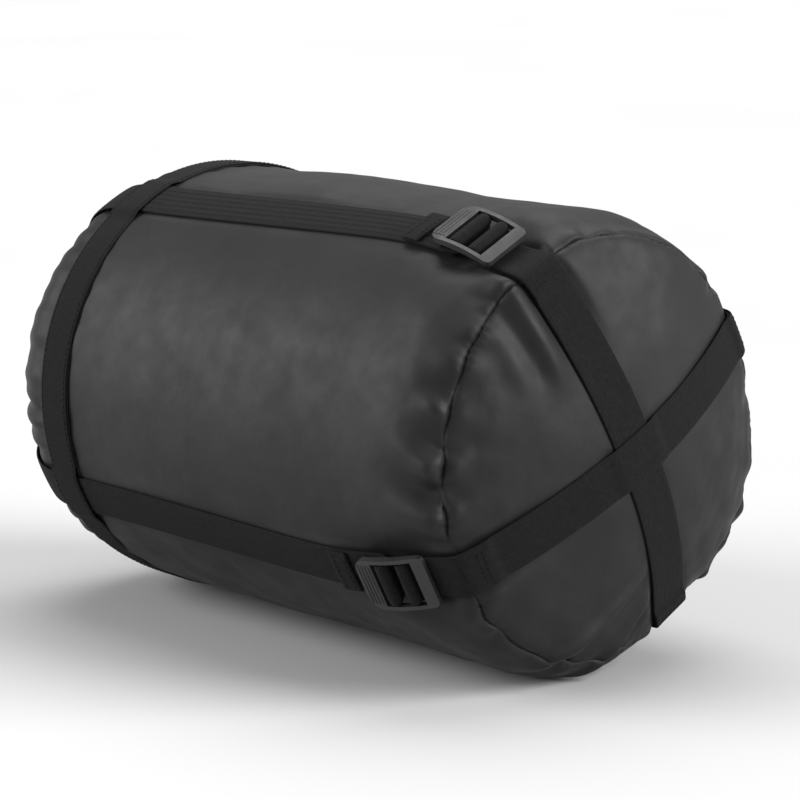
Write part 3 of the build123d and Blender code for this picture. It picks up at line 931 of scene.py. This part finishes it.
def band_lift(phi):
    """The rim band's underside above the cloth: it steps up over each strap."""
    lift = 0.5 * MM + 0 * phi
    for place in STRAP_DEG:
        gap = abs(angle_gap(phi, strap_middle(place, np.float64(S_RIM)))) * RIM_R
        lift = lift + (LAP + 0.5 * MM) * (1 - smoothstep(gap, WEB_W / 2, WEB_W / 2 + 9 * MM))
    return lift


def rim_band():
    """The band round the lid's rim, lying over the four straps."""
    v, top, bottom = web_section(WEB_COLUMNS)
    phi = np.arange(720) * 2 * pi / 720
    s = S_RIM + WEB_W / 2 + v[None, :] + 0 * phi[:, None]
    return surface_strap("rim_webbing", s, phi[:, None] + 0 * v[None, :], band_lift(phi), phi * RIM_R,
                         loop=True)


finish_piece(rim_band(), "lid", "webbing", "ring_band")


def rim_stitches():
    rows = []
    phi = np.linspace(0, 2 * pi, 900)
    for offset in (2.0 * MM, WEB_W - 2.0 * MM):
        rows.append(path_frame(S_RIM + offset + 0 * phi, phi, band_lift(phi) + WEB_T + 0.1 * MM))
    return stitches("rim_stitches", rows, radius=0.22 * MM)


finish_piece(rim_stitches(), "lid", "thread")

# ---------------------------------------------------------------- ladder locks and the webbing turned in them
LOCKING_BAR, LOOP_BAR = (-4.5, 5.2), (7.5, 4.1)


def lock_axes(place):
    """The lock's middle and its directions: towards the base, sideways and outwards."""
    turn = radians(STRAP_DEG[place])
    radial = np.array([0, -cos(turn), sin(turn)])
    along = np.array([cos(LOCK_TILT), 0, 0]) - radial * sin(LOCK_TILT)
    normal = radial * cos(LOCK_TILT) + np.array([sin(LOCK_TILT), 0, 0])
    hinge = np.array(LIFT_JOINT[place]["pos_m"])
    return hinge - along * HINGE_X - normal * HINGE_Z, along, np.cross(normal, along), normal


def around(bar, start, end, wide, count=11):
    """Points of a turn of webbing round a bar in the lock's side view, in millimetres and degrees."""
    tall = 2.0 + 0.15 + WEB_T / MM / 2
    turns = np.radians(np.linspace(start, end, count))
    return [(bar[0] + wide * cos(a), bar[1] + tall * sin(a)) for a in turns]


ADJUST_LINE = [(-17, -2.2), (-10, -1.9), (-3.5, -0.3)] + around(LOCKING_BAR, -55, 185, 3.4) + [
    (-9.0, 3.4), (-12, 2.2), (-16, 0.2), (-20, -0.4)]
LOOP_LINE = [(18, -0.8), (14, -0.4), (11.6, 1.1)] + around(LOOP_BAR, -25, 205, 3.1) + [
    (4.6, 0.4), (6.5, -1.3), (11, -2.1), (18, -2.2)]


def lock_webbing(name, place, line):
    centre, along, side, normal = lock_axes(place)
    path = smooth_line(np.array(line) * MM, 70)
    way = np.gradient(path, axis=0)
    way /= np.linalg.norm(way, axis=1)[:, None]
    spot = centre + path[:, :1] * along + path[:, 1:] * normal
    facing = way[:, 1:] * along - way[:, :1] * normal
    return free_strap(name, spot, facing, side, width=WEB_W * 0.99)


for place in STRAP_DEG:
    body = f"buckle_{place}"
    for name, line, replaced in (("adjusting_webbing", ADJUST_LINE, "adjusting_turn"),
                                 ("loop_webbing", LOOP_LINE, "base_loop")):
        turn = lock_webbing(f"{name}_{place}", place, line)
        finish_piece(turn, body, "webbing", f"{replaced}_{place}")
    lock = frame["nodes"][f"ladder_lock_{place}"]
    lock.data.materials.clear()
    lock.data.materials.append(PLASTIC)
    edge = lock.modifiers.new("moulded_edges", "BEVEL")
    edge.width, edge.segments, edge.limit_method, edge.angle_limit = 0.45 * MM, 3, "ANGLE", radians(40)
    edge.harden_normals = False

for node, material in (("drawcord", CORD), ("eyelet", BLACK_BRASS), ("cord_lock_barrel", PLASTIC),
                       ("cord_lock_plunger", PLASTIC), ("cord_lock_spring", STEEL)):
    part = frame["nodes"][node]
    part.data.materials.clear()
    part.data.materials.append(material)


# ---------------------------------------------------------------- floor, light and camera
def floor_material():
    m = Nodes("pale_floor")
    m.colour(m.span(m.noise(1.5, 2.0), 0, 1), (0.51, 0.51, 0.51), (0.53, 0.53, 0.53))
    m.set(Roughness=0.9, Specular_IOR_Level=0.1)
    return m.material


def make_floor(half=60.0):
    corners = np.array([(-half, -half, 0), (half, -half, 0), (half, half, 0), (-half, half, 0)], float)
    floor = mesh_object("floor", corners, [[0, 1, 2, 3]])
    floor.data.materials.append(floor_material())


def sun(name, towards, strength, softness):
    light = bpy.data.lights.new(name, "SUN")
    light.energy, light.angle = strength, radians(softness)
    lamp = bpy.data.objects.new(name, light)
    lamp.rotation_euler = Vector(towards).to_track_quat("Z", "Y").to_euler()
    scene.collection.objects.link(lamp)


def make_lights():
    """Soft light from the left and from the right, weaker light from above, and a dim surround."""
    world = bpy.data.worlds.new("studio")
    world.use_nodes = True
    world.node_tree.nodes["Background"].inputs["Color"].default_value = (1, 1, 1, 1)
    world.node_tree.nodes["Background"].inputs["Strength"].default_value = 0.36
    scene.world = world
    sun("above", (-0.25, 0.35, 1.0), 2.1, 50)
    sun("left", (-0.6, -0.7, 0.4), 2.9, 40)
    sun("right", (0.8, 0.5, 0.5), 4.0, 40)


CAMERA_AZIMUTH, CAMERA_ELEVATION = radians(48.7), radians(9.9)
CAMERA_DISTANCE = 1.723
CAMERA_LENS = 140.7
PICTURE_OFFSET = (-12.3 / 800, 11.8 / 800)


def make_camera():
    data = bpy.data.cameras.new("camera")
    data.sensor_width, data.lens = 36.0, CAMERA_LENS
    data.shift_x, data.shift_y = PICTURE_OFFSET
    data.clip_start, data.clip_end = 0.05, 50
    a, e = CAMERA_AZIMUTH, CAMERA_ELEVATION
    back = Vector((sin(a) * cos(e), -cos(a) * cos(e), sin(e)))
    camera = bpy.data.objects.new("camera", data)
    camera.location = Vector((0, 0, AXIS_Z)) + back * CAMERA_DISTANCE
    camera.rotation_mode = "QUATERNION"
    camera.rotation_quaternion = (-back).to_track_quat("-Z", "Y")
    scene.collection.objects.link(camera)
    scene.camera = camera


make_floor()
make_lights()
make_camera()
scene.view_settings.view_transform = "Standard"
